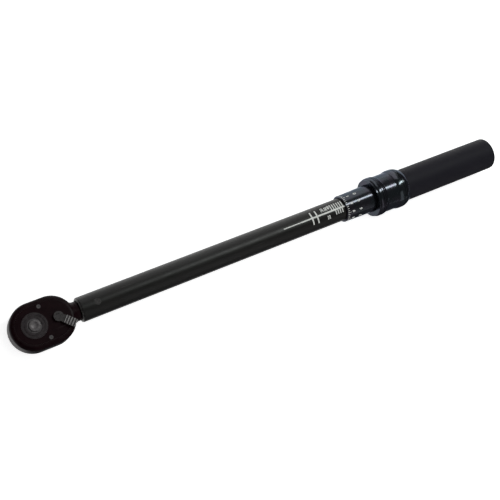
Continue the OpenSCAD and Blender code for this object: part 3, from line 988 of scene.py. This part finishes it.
class GeometryBench:
    """Builds a geometry node tree with named inputs and turns its result into a mesh."""

    def __init__(self, name: str) -> None:
        """Makes an empty tree that ends in a Geometry output."""
        self.tree = bpy.data.node_groups.new(name, "GeometryNodeTree")
        self.tree.interface.new_socket(
            name="Geometry", in_out="OUTPUT", socket_type="NodeSocketGeometry"
        )
        self.source = self.tree.nodes.new("NodeGroupInput")
        self.values: dict[str, Any] = {}

    def input(self, name: str, kind: str, value: Any) -> bpy.types.NodeSocket:
        """Adds a named input.

        Args:
            name: Its name.
            kind: Its socket type, such as "NodeSocketFloat".
            value: The value that the modifier is given.

        Returns:
            The socket to link from.
        """
        item = self.tree.interface.new_socket(name=name, in_out="INPUT", socket_type=kind)
        self.values[item.identifier] = value
        return next(s for s in self.source.outputs if s.identifier == item.identifier)

    def node(self, kind: str, inputs: dict[Any, Any] | None = None, **settings: Any) -> Any:
        """Adds a node.

        Args:
            kind: Its type.
            inputs: Values or sockets by input name or index.
            settings: Its properties.

        Returns:
            The node.
        """
        made = self.tree.nodes.new(kind)
        for name, value in settings.items():
            setattr(made, name, value)
        for key, value in (inputs or {}).items():
            if isinstance(value, bpy.types.NodeSocket):
                self.tree.links.new(value, made.inputs[key])
            else:
                made.inputs[key].default_value = value
        return made

    def finish(self, geometry: Any, name: str, material: bpy.types.Material) -> bpy.types.Object:
        """Ends the tree, evaluates it and makes a plain mesh object of it.

        Args:
            geometry: The last geometry socket.
            name: The piece's name.
            material: The piece's material.

        Returns:
            The piece, with no modifier left.
        """
        slot = self.input("Material", "NodeSocketMaterial", material)
        real = self.node("GeometryNodeRealizeInstances", {"Geometry": geometry})
        dressed = self.node(
            "GeometryNodeSetMaterial", {"Geometry": real.outputs[0], "Material": slot}
        )
        output = self.tree.nodes.new("NodeGroupOutput")
        self.tree.links.new(dressed.outputs[0], output.inputs[0])
        holder = new_object(name + "_rule", bpy.data.meshes.new(name + "_rule"))
        modifier = holder.modifiers.new("rule", "NODES")
        modifier.node_group = self.tree
        for identifier, value in self.values.items():
            modifier[identifier] = value
        graph = bpy.context.evaluated_depsgraph_get()
        mesh = bpy.data.meshes.new_from_object(holder.evaluated_get(graph))
        mesh.name = name
        holder.modifiers.remove(modifier)
        bpy.data.objects.remove(holder)
        return new_object(name, mesh)


@dataclass(frozen=True)
class Coil:
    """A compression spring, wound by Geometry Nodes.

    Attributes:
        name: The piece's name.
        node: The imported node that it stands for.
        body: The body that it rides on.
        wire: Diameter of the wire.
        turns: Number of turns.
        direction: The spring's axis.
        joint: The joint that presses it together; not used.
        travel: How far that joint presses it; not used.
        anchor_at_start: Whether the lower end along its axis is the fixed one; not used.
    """

    name: str
    node: str
    body: Body
    wire: float
    turns: float
    direction: Vector
    joint: str
    travel: float
    anchor_at_start: bool = True

    def build(self, book: FinishBook) -> bpy.types.Object:
        """Winds the spring in its node's box.

        Args:
            book: The finishes.

        Returns:
            The spring.
        """
        low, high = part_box(self.node)
        centre = (low + high) / 2
        size = high - low
        length = abs(size.dot(self.direction))
        across = min(size[i] for i in range(3) if abs(self.direction[i]) < 0.5)
        radius = across / 2 - self.wire / 2
        bench = GeometryBench(self.name)
        float_kind = "NodeSocketFloat"
        coil_radius = bench.input("Coil radius", float_kind, radius)
        rise = bench.input("Rise", float_kind, length - self.wire)
        wire_radius = bench.input("Wire radius", float_kind, self.wire / 2)
        turns = bench.input("Turns", float_kind, self.turns)
        spiral = bench.node("GeometryNodeCurveSpiral", {
            "Resolution": 28, "Rotations": turns, "Start Radius": coil_radius,
            "End Radius": coil_radius, "Height": rise,
        })
        wire = bench.node("GeometryNodeCurvePrimitiveCircle",
                          {"Resolution": 10, "Radius": wire_radius})
        tube = bench.node("GeometryNodeCurveToMesh", {
            "Curve": spiral.outputs[0], "Profile Curve": wire.outputs[0], "Fill Caps": True,
        })
        piece = bench.finish(tube.outputs[0], self.name, book.of(Slot.SPRING_STEEL))
        start = centre - self.direction * (length / 2 - self.wire / 2)
        turn = Vector((0, 0, 1)).rotation_difference(self.direction).to_matrix().to_4x4()
        piece.data.transform(Matrix.Translation(start) @ turn)
        smooth(piece.data)
        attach(piece, self.body.value)
        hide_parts(self.node)
        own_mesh(piece)
        return piece


# ---- Sub-assemblies -------------------------------------------------------


@dataclass
class TubeScale:
    """The white graduations on the tube, in front of the thimble.

    Attributes:
        at: The wrench's stations.
        book: The finishes.
        line_start: How far in front of the thimble the datum line starts.
        line_end: How far below the thimble it runs on.
        line_width: Width of the datum line at the thimble.
        thin_stretch: Length of the line's middle stretch, which is a little thinner.
        crosses: How far in front of the thimble the two cross strokes stand.
        cross_width: Width of a cross stroke.
        cross_sides: Arc lengths from the line to a cross stroke's ends.
        pitch: Travel of the grip for one turn.
        numbers: Text of each number, turns in front of the thimble and degrees from the top.
        digit_size: Height of the digits.
        surface: The tube's surface, in front of the thimble.
    """

    at: Stations
    book: FinishBook
    line_start: float = 69 * MM
    line_end: float = 4 * MM
    line_width: float = 1.5 * MM
    thin_stretch: float = 12 * MM
    crosses: tuple[float, ...] = (37.3 * MM, 31.7 * MM)
    cross_width: float = 1.4 * MM
    cross_sides: tuple[float, float] = (-6.6 * MM, 6.2 * MM)
    pitch: float = 2.5 * MM
    numbers: tuple[tuple[str, float, float], ...] = (
        ("20", 9.8, 22.0), ("30", 8.2, 20.0), ("40", 6.9, 23.0), ("25", 7.9, -25.0),
    )
    digit_size: float = 2.9 * MM
    surface: Cone = field(init=False)

    def __post_init__(self) -> None:
        """Sets the surface that the marks lie on."""
        at = self.at
        self.surface = Cone(at.axis_z, at.tube_front, at.thimble_front,
                            at.tube_radius, at.tube_radius)

    def build(self) -> list[bpy.types.Object]:
        """Makes the datum line with its numbers, and a row of strokes on each side of it.

        Returns:
            The pieces.
        """
        pieces = [
            self._line_and_numbers(),
            self._strokes("tube_upper_strokes", 6, 5.8 * self.pitch, 6.6 * MM),
            self._strokes("tube_lower_strokes", 4, 4.4 * self.pitch, -5 * MM),
        ]
        for piece in pieces:
            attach(piece, Body.TUBE.value)
        return pieces

    def _line_and_numbers(self) -> bpy.types.Object:
        """Makes the datum line, its two cross strokes and the numbers.

        Returns:
            One mesh.
        """
        zero = self.at.thimble_front
        maker = MarkMaker(self.surface)
        shape = bmesh.new()
        first = zero - self.crosses[0]
        half = self.line_width / 2
        for start, end, share in (
            (zero - self.line_start, first - self.thin_stretch, 0.6),
            (first - self.thin_stretch, first, 0.8),
            (first, zero + self.line_end, 1.0),
        ):
            maker.bar(shape, (start, end), (-share * half, share * half))
        for back in self.crosses:
            ends = (zero - back - self.cross_width / 2, zero - back + self.cross_width / 2)
            maker.bar(shape, ends, (self.cross_sides[0], -half))
            maker.bar(shape, ends, (half, self.cross_sides[1]))
        for text, turns, angle in self.numbers:
            x = zero - turns * self.pitch
            maker.numeral(shape, Numeral(text, x, angle, self.digit_size))
        bmesh.ops.recalc_face_normals(shape, faces=shape.faces)
        return object_of("tube_datum_line", shape, self.book.white_fill)

    def _strokes(self, name: str, count: int, start: float, side: float) -> bpy.types.Object:
        """Repeats a short stroke along one side of the line and wraps the row on the tube.

        Args:
            name: The piece's name.
            count: Number of strokes.
            start: How far in front of the thimble the first one stands.
            side: Arc length from the line to the strokes' ends, negative towards -Y.

        Returns:
            One mesh.
        """
        bench = GeometryBench(name)
        float_kind = "NodeSocketFloat"
        number = bench.input("Strokes", "NodeSocketInt", count)
        pitch = bench.input("Pitch", float_kind, self.pitch)
        radius = bench.input("Tube radius", float_kind, self.surface.start_radius)
        long = bench.input("Length", float_kind, abs(side))
        middle = bench.input("Middle", float_kind, side / 2)
        wide = bench.input("Width", float_kind, 1.05 * MM)
        thick = bench.input("Thickness", float_kind, MarkMaker.PROUD + MarkMaker.SUNK)
        step = bench.node("ShaderNodeCombineXYZ", {0: pitch})
        row = bench.node("GeometryNodeMeshLine", {"Count": number, "Offset": step.outputs[0]})
        size = bench.node("ShaderNodeCombineXYZ", {0: wide, 1: long, 2: thick})
        bar = bench.node("GeometryNodeMeshCube", {"Size": size.outputs[0], "Vertices Y": 14})
        shift = bench.node("ShaderNodeCombineXYZ",
                           {1: middle, 2: (MarkMaker.PROUD - MarkMaker.SUNK) / 2})
        placed = bench.node("GeometryNodeTransform", {
            "Geometry": bar.outputs[0], "Translation": shift.outputs[0],
        })
        spread = bench.node("GeometryNodeInstanceOnPoints", {
            "Points": row.outputs[0], "Instance": placed.outputs[0],
        })
        flat = bench.node("GeometryNodeRealizeInstances", {"Geometry": spread.outputs[0]})
        spot = bench.node("ShaderNodeSeparateXYZ",
                          {0: bench.node("GeometryNodeInputPosition").outputs[0]})
        turn = bench.node("ShaderNodeMath", {0: spot.outputs[1], 1: radius}, operation="DIVIDE")
        reach = bench.node("ShaderNodeMath", {0: spot.outputs[2], 1: radius}, operation="ADD")
        across, up = (
            bench.node("ShaderNodeMath", {
                0: reach.outputs[0],
                1: bench.node("ShaderNodeMath", {0: turn.outputs[0]}, operation=kind).outputs[0],
            }, operation="MULTIPLY")
            for kind in ("SINE", "COSINE")
        )
        wrapped = bench.node("ShaderNodeCombineXYZ", {
            0: spot.outputs[0], 1: across.outputs[0], 2: up.outputs[0],
        })
        bent = bench.node("GeometryNodeSetPosition", {
            "Geometry": flat.outputs[0], "Position": wrapped.outputs[0],
        })
        piece = bench.finish(bent.outputs[0], name, self.book.white_fill)
        first = self.at.thimble_front - start
        piece.data.transform(Matrix.Translation((first, 0, self.at.axis_z)))
        return piece


@dataclass
class ThimbleScale:
    """The graduations round the thimble.

    Attributes:
        at: The wrench's stations.
        book: The finishes.
        divisions: Number of short strokes round the front edge.
        numbered: Number of long strokes, and of numbers in a row.
        rows: How far behind the front edge each row of numbers stands.
        digit_size: Height of the digits.
        edge: Length of the thimble's rounded front edge.
        taper: How much smaller the radius is at the front.
        surface: The thimble's surface, between its front edge and the lock ring.
    """

    at: Stations
    book: FinishBook
    divisions: int = 40
    numbered: int = 10
    rows: tuple[float, ...] = (7.4 * MM, 15.4 * MM)
    digit_size: float = 3 * MM
    edge: float = 0.8 * MM
    taper: float = 0.65 * MM
    surface: Cone = field(init=False)

    def __post_init__(self) -> None:
        """Sets the cone that the marks lie on."""
        at = self.at
        self.surface = Cone(at.axis_z, at.thimble_front + self.edge, at.ring_front,
                            at.thimble_radius - self.taper, at.thimble_radius)

    def build(self) -> list[bpy.types.Object]:
        """Makes the strokes and the numbers.

        Returns:
            The pieces.
        """
        pieces = [self._numbers(), self._strokes("thimble_short_strokes", self.divisions, 2.1 * MM),
                  self._strokes("thimble_long_strokes", self.numbered, 3.6 * MM)]
        for piece in pieces:
            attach(piece, Body.GRIP.value)
        return pieces

    def _numbers(self) -> bpy.types.Object:
        """Makes the rows of numbers: each long stroke's own, and behind it a slower count.

        Returns:
            One mesh.
        """
        maker = MarkMaker(self.surface)
        shape = bmesh.new()
        for k in range(self.numbered):
            angle = 360.0 * k / self.numbered
            for count, back in zip((k, k * 7 // 10), self.rows):
                x = self.at.thimble_front + back
                maker.numeral(shape, Numeral(str(count), x, angle, self.digit_size))
        bmesh.ops.recalc_face_normals(shape, faces=shape.faces)
        return object_of("thimble_numbers", shape, self.book.white_fill)

    def _strokes(self, name: str, count: int, length: float) -> bpy.types.Object:
        """Repeats a stroke round the thimble's front edge.

        Args:
            name: The piece's name.
            count: Number of strokes.
            length: Length of a stroke.

        Returns:
            One mesh.
        """
        surface = self.surface
        start = surface.start + 0.1 * MM
        bench = GeometryBench(name)
        float_kind = "NodeSocketFloat"
        number = bench.input("Strokes", "NodeSocketInt", count)
        radius = bench.input("Radius", float_kind, surface.radius(start + length / 2))
        long = bench.input("Length", float_kind, length)
        wide = bench.input("Width", float_kind, 0.42 * MM)
        ring = bench.node("GeometryNodeMeshCircle", {"Vertices": number, "Radius": radius})
        away = bench.node("GeometryNodeInputPosition")
        lean = bench.node("FunctionNodeAlignEulerToVector", {"Vector": away.outputs[0]}, axis="X")
        size = bench.node("ShaderNodeCombineXYZ", {0: 2 * MarkMaker.PROUD, 1: wide, 2: long})
        stroke = bench.node("GeometryNodeMeshCube", {"Size": size.outputs[0]})
        spread = bench.node("GeometryNodeInstanceOnPoints", {
            "Points": ring.outputs[0], "Instance": stroke.outputs[0],
            "Rotation": lean.outputs[0],
        })
        piece = bench.finish(spread.outputs[0], name, self.book.white_fill)
        centre = Vector((start + length / 2, 0, self.at.axis_z))
        turn = Matrix.Rotation(math.pi / 2, 4, "Y")
        piece.data.transform(Matrix.Translation(centre) @ turn)
        return piece


@dataclass
class GripSleeve:
    """The smooth rubber sleeve, turned with a soft rear edge.

    Attributes:
        at: The wrench's stations.
        book: The finishes.
        bore: Radius of the core that the sleeve is pressed on.
        plug_bore: Radius of the opening round the plug.
        lip: Length of the lip behind the core.
        rear_edge: Radius of the rear edge.
        mouth_edge: Radius of the edge round the plug.
        front_edge: Length and depth of the front edge's rounding.
        rings: Number of rings along the sleeve.
    """

    at: Stations
    book: FinishBook
    bore: float
    plug_bore: float
    lip: float = 3 * MM
    rear_edge: float = 2.2 * MM
    mouth_edge: float = 0.4 * MM
    front_edge: float = 0.3 * MM
    rings: int = 24

    def build(self) -> bpy.types.Object:
        """Turns the sleeve.

        Returns:
            The piece.
        """
        front, rear, radius = self.at.sleeve_front, self.at.sleeve_rear, self.at.sleeve_radius
        edge, mouth = self.rear_edge, self.mouth_edge
        step = (rear - edge - front) / self.rings
        profile = (
            [(front, self.bore), (front, radius - self.front_edge),
             (front + 0.1 * MM, radius - 0.08 * MM)]
            + [(front + max(self.front_edge, i * step), radius) for i in range(self.rings)]
            + arc((rear - edge, radius - edge), edge, 90, 0, 10)
            + arc((rear - mouth, self.plug_bore + mouth), mouth, 0, -90, 4)
            + [(rear - self.lip, self.plug_bore), (rear - self.lip, self.bore)]
        )
        mesh = lathe("rubber_sleeve", profile, self.at.axis_z, 144)
        piece = new_object("rubber_sleeve", mesh)
        piece.data.materials.append(self.book.of(Slot.GRIP_RUBBER))
        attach(piece, Body.GRIP.value)
        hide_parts("grip_sleeve")
        return piece


# ---- Studio ---------------------------------------------------------------


@dataclass(frozen=True)
class Lamp:
    """A soft rectangular light.

    Attributes:
        name: Its name.
        towards: Direction from the wrench's middle to the light.
        distance: How far away it stands.
        size: Its width and height.
        power: Its power in watts.
        colour: Its colour.
        mirrored: Whether reflections show it.
    """

    name: str
    towards: tuple[float, float, float]
    distance: float
    size: tuple[float, float]
    power: float
    colour: Colour = (1.0, 1.0, 1.0)
    mirrored: bool = True

    def build(self, aim: Vector) -> bpy.types.Object:
        """Places the light so that it faces a point.

        Args:
            aim: The point.

        Returns:
            The light.
        """
        data = bpy.data.lights.new(self.name, "AREA")
        data.shape = "RECTANGLE"
        data.size, data.size_y = self.size
        data.energy = self.power
        data.color = self.colour
        lamp = bpy.data.objects.new(self.name, data)
        bpy.context.scene.collection.objects.link(lamp)
        away = Vector(self.towards).normalized()
        lamp.visible_glossy = self.mirrored
        lamp.location = aim + away * self.distance
        lamp.rotation_mode = "QUATERNION"
        lamp.rotation_quaternion = away.to_track_quat("Z", "X")
        return lamp


@dataclass
class Studio:
    """A pale floor, soft lights, a dim world and the camera.

    Attributes:
        at: The wrench's stations.
        lamps: The lights.
        world_level: Brightness of the world.
        floor_glow: Light that the floor adds by itself, so that it stays pale.
        square_reach: How far from the drive's axis the square's end meets the floor.
        bead_back: How far behind its middle the lock ring meets the floor.
    """

    at: Stations
    lamps: tuple[Lamp, ...] = (
        Lamp("strip_softbox", (0.5, 0.15, 0.86), 1.5, (0.8, 0.2), 6.4, (0.95, 1.0, 0.97)),
        Lamp("rear_softbox", (0.4, 1.0, 0.3), 1.6, (2.2, 0.9), 6.6),
        Lamp("front_softbox", (0.35, -1.0, 0.36), 1.6, (2.0, 0.7), 2.3),
        Lamp("top_fill", (0.1, -0.25, 0.95), 1.5, (1.8, 1.2), 7.0, mirrored=False),
    )
    world_level: float = 0.08
    floor_glow: float = 0.78
    square_reach: float = 6.2 * MM
    bead_back: float = 11 * MM

    def build(self) -> None:
        """Makes the floor, the dark card, the world, the lights and the camera."""
        self._floor()
        self._dark_card()
        self._world()
        aim = Vector((0.25, 0.0, self.at.axis_z))
        for lamp in self.lamps:
            lamp.build(aim)
        self._camera()
        bpy.context.scene.view_settings.view_transform = "Standard"

    def _floor_height(self, x: float) -> float:
        """Height of the floor, on which the square's end and the lock ring lie.

        Args:
            x: Station along the wrench.

        Returns:
            The height there.
        """
        front = self.square_reach
        rear = (self.at.ring_front + self.at.ring_rear) / 2 + self.bead_back
        low = self.at.axis_z - self.at.ring_radius
        return low * (x - front) / (rear - front)

    def _floor(self) -> None:
        """Lays the floor under the square's end and the lock ring."""
        reach = 4.0
        steps = 24
        shape = bmesh.new()
        grid = [
            [
                shape.verts.new((x, y, self._floor_height(x) - 0.02 * MM))
                for y in (reach * (2 * j / steps - 1) for j in range(steps + 1))
            ]
            for x in (reach * (2 * i / steps - 1) for i in range(steps + 1))
        ]
        for i in range(steps):
            for j in range(steps):
                shape.faces.new((grid[i][j], grid[i + 1][j], grid[i + 1][j + 1], grid[i][j + 1]))
        bench = ShaderBench("pale_paper", self.at.axis_z)
        fibre = bench.noise(260.0, detail=3.0)
        colour = bench.mix(bench.spread(fibre, 0.3, 0.7), (0.9, 0.9, 0.9), (0.87, 0.87, 0.875))
        bench.paint(colour, bench.spread(fibre, 0.3, 0.7, 0.85, 0.95), bench.product(fibre, 0.00002))
        bench.fix({
            "Emission Color": (1.0, 1.0, 1.0, 1.0),
            "Emission Strength": self.floor_glow,
            "Specular IOR Level": 0.1,
        })
        object_of("pale_floor", shape, bench.material)

    def _dark_card(self) -> None:
        """Lays a dark card beside the wrench that only its reflections meet."""
        shape = bmesh.new()
        ends, sides, lift = (-0.5, 0.9), (-0.022, -0.9), 1.5 * MM
        corners = [(ends[i], sides[j]) for i, j in ((0, 0), (0, 1), (1, 1), (1, 0))]
        shape.faces.new([
            shape.verts.new((x, y, self._floor_height(x) + lift)) for x, y in corners
        ])
        bench = ShaderBench("dark_card", self.at.axis_z)
        fibre = bench.noise(200.0, detail=3.0)
        colour = bench.mix(fibre, (0.16, 0.16, 0.17), (0.2, 0.2, 0.21))
        bench.paint(colour, bench.spread(fibre, 0.3, 0.7, 0.85, 0.95), bench.product(fibre, 0.00002))
        card = object_of("dark_card", shape, bench.material)
        card.visible_camera = False
        card.visible_shadow = False
        card.visible_diffuse = False

    def _world(self) -> None:
        """Makes an even, dim world."""
        world = bpy.data.worlds.new("soft_room")
        world.use_nodes = True
        nodes = world.node_tree.nodes
        nodes.clear()
        background = nodes.new("ShaderNodeBackground")
        background.inputs["Color"].default_value = (0.94, 0.97, 1.0, 1.0)
        background.inputs["Strength"].default_value = self.world_level
        output = nodes.new("ShaderNodeOutputWorld")
        world.node_tree.links.new(background.outputs[0], output.inputs["Surface"])
        bpy.context.scene.world = world

    def _camera(self) -> None:
        """Places the camera high above the head's side, looking down along the tube."""
        right = Vector((0.85122, -0.40747, 0.33075))
        down = Vector((-0.33144, -0.90603, -0.26318))
        ahead = right.cross(down)
        data = bpy.data.cameras.new("camera")
        data.lens = 71.615
        data.sensor_width = 36.0
        data.clip_start = 0.05
        data.clip_end = 50.0
        camera = bpy.data.objects.new("camera", data)
        bpy.context.scene.collection.objects.link(camera)
        spin = Matrix((right, -down, -ahead)).transposed()
        place = Vector((-162.04 * MM, -109.73 * MM, self.at.axis_z + 829.13 * MM))
        camera.matrix_world = Matrix.Translation(place) @ spin.to_4x4()
        bpy.context.scene.camera = camera


# ---- The wrench -----------------------------------------------------------


def springs() -> tuple[Coil, ...]:
    """The wrench's round-wire springs.

    Returns:
        The main spring, the button's and the lock ring's.
    """
    along = Vector((1, 0, 0))
    up = Vector((0, 0, 1))
    return (
        Coil("torque_spring", "main_spring", Body.TUBE, 3.2 * MM, 24, along,
             "adjust_slide", 32.5 * MM),
        Coil("button_spring", "release_spring", Body.DRIVE, 0.9 * MM, 6, up,
             "button_press", 2.5 * MM),
        Coil("ring_spring", "lock_spring", Body.GRIP, 1.2 * MM, 4, along,
             "lock_pull", 4 * MM, anchor_at_start=False),
    )


def report(pieces: Sequence[bpy.types.Object]) -> None:
    """Logs each piece with its number of faces."""
    for piece in pieces:
        LOG.info("%s: %d faces", piece.name, len(piece.data.polygons))


def main() -> None:
    """Builds the looks of the wrench in order."""
    logging.basicConfig(level=logging.INFO, format="%(name)s %(message)s")
    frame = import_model()
    at = Stations.read()
    book = FinishBook(at)
    book.dress_frame(frame)
    Studio(at).build()
    core_low, core_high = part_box("grip_core")
    plug_low, plug_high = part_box("end_plug")
    report(TubeScale(at, book).build())
    report(ThimbleScale(at, book).build())
    sleeve = GripSleeve(at, book, bore=(core_high.z - core_low.z) / 2,
                        plug_bore=(plug_high.z - plug_low.z) / 2)
    report([sleeve.build()])
    report([spring.build(book) for spring in springs()])


if __name__ == "__main__":
    main()
